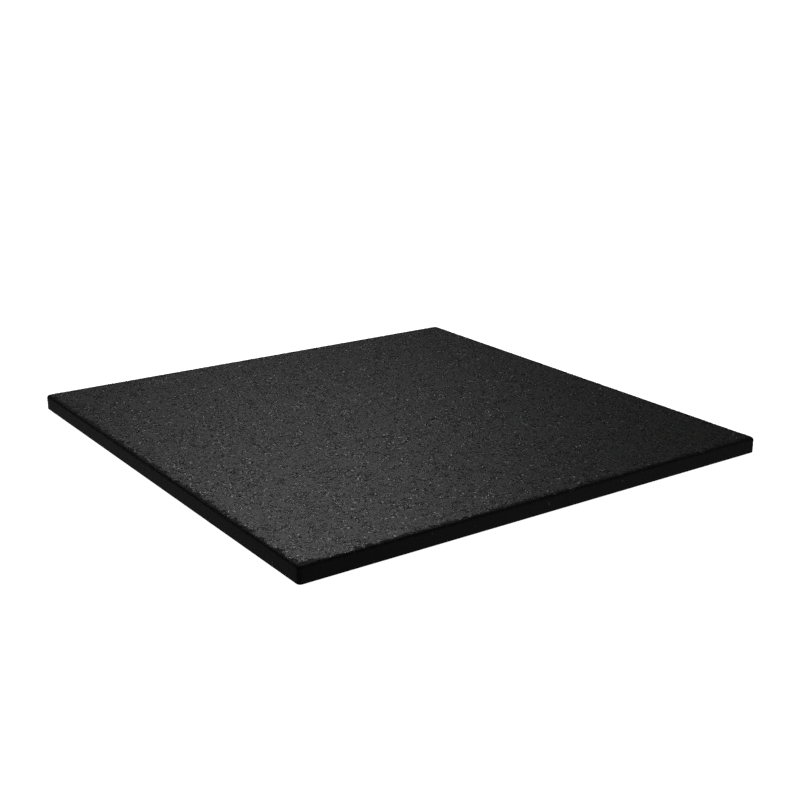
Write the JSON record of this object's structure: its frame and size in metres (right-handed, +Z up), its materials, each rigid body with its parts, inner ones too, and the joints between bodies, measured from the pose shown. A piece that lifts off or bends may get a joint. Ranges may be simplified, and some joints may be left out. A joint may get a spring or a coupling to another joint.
{
  "type": "rubber gym floor tile",
  "caption": "Square slab of pressed black rubber crumb with rounded corners and a softly rolled top edge, laid loose or glued on a floor and butted against its neighbours.",
  "frame": {"origin": "middle of the underside, on the floor that the tile lies on", "axes": "+Z up through the thickness, X and Y along the sides"},
  "size_m": [1, 1, 0.03],
  "materials": {
    "pressed_rubber": "matt pressed crumb, charcoal black, fine grain with a faint sheen on each crumb"
  },
  "bodies": {
    "root": {"rubber_slab": "pressed_rubber"}
  },
  "joints": []
}
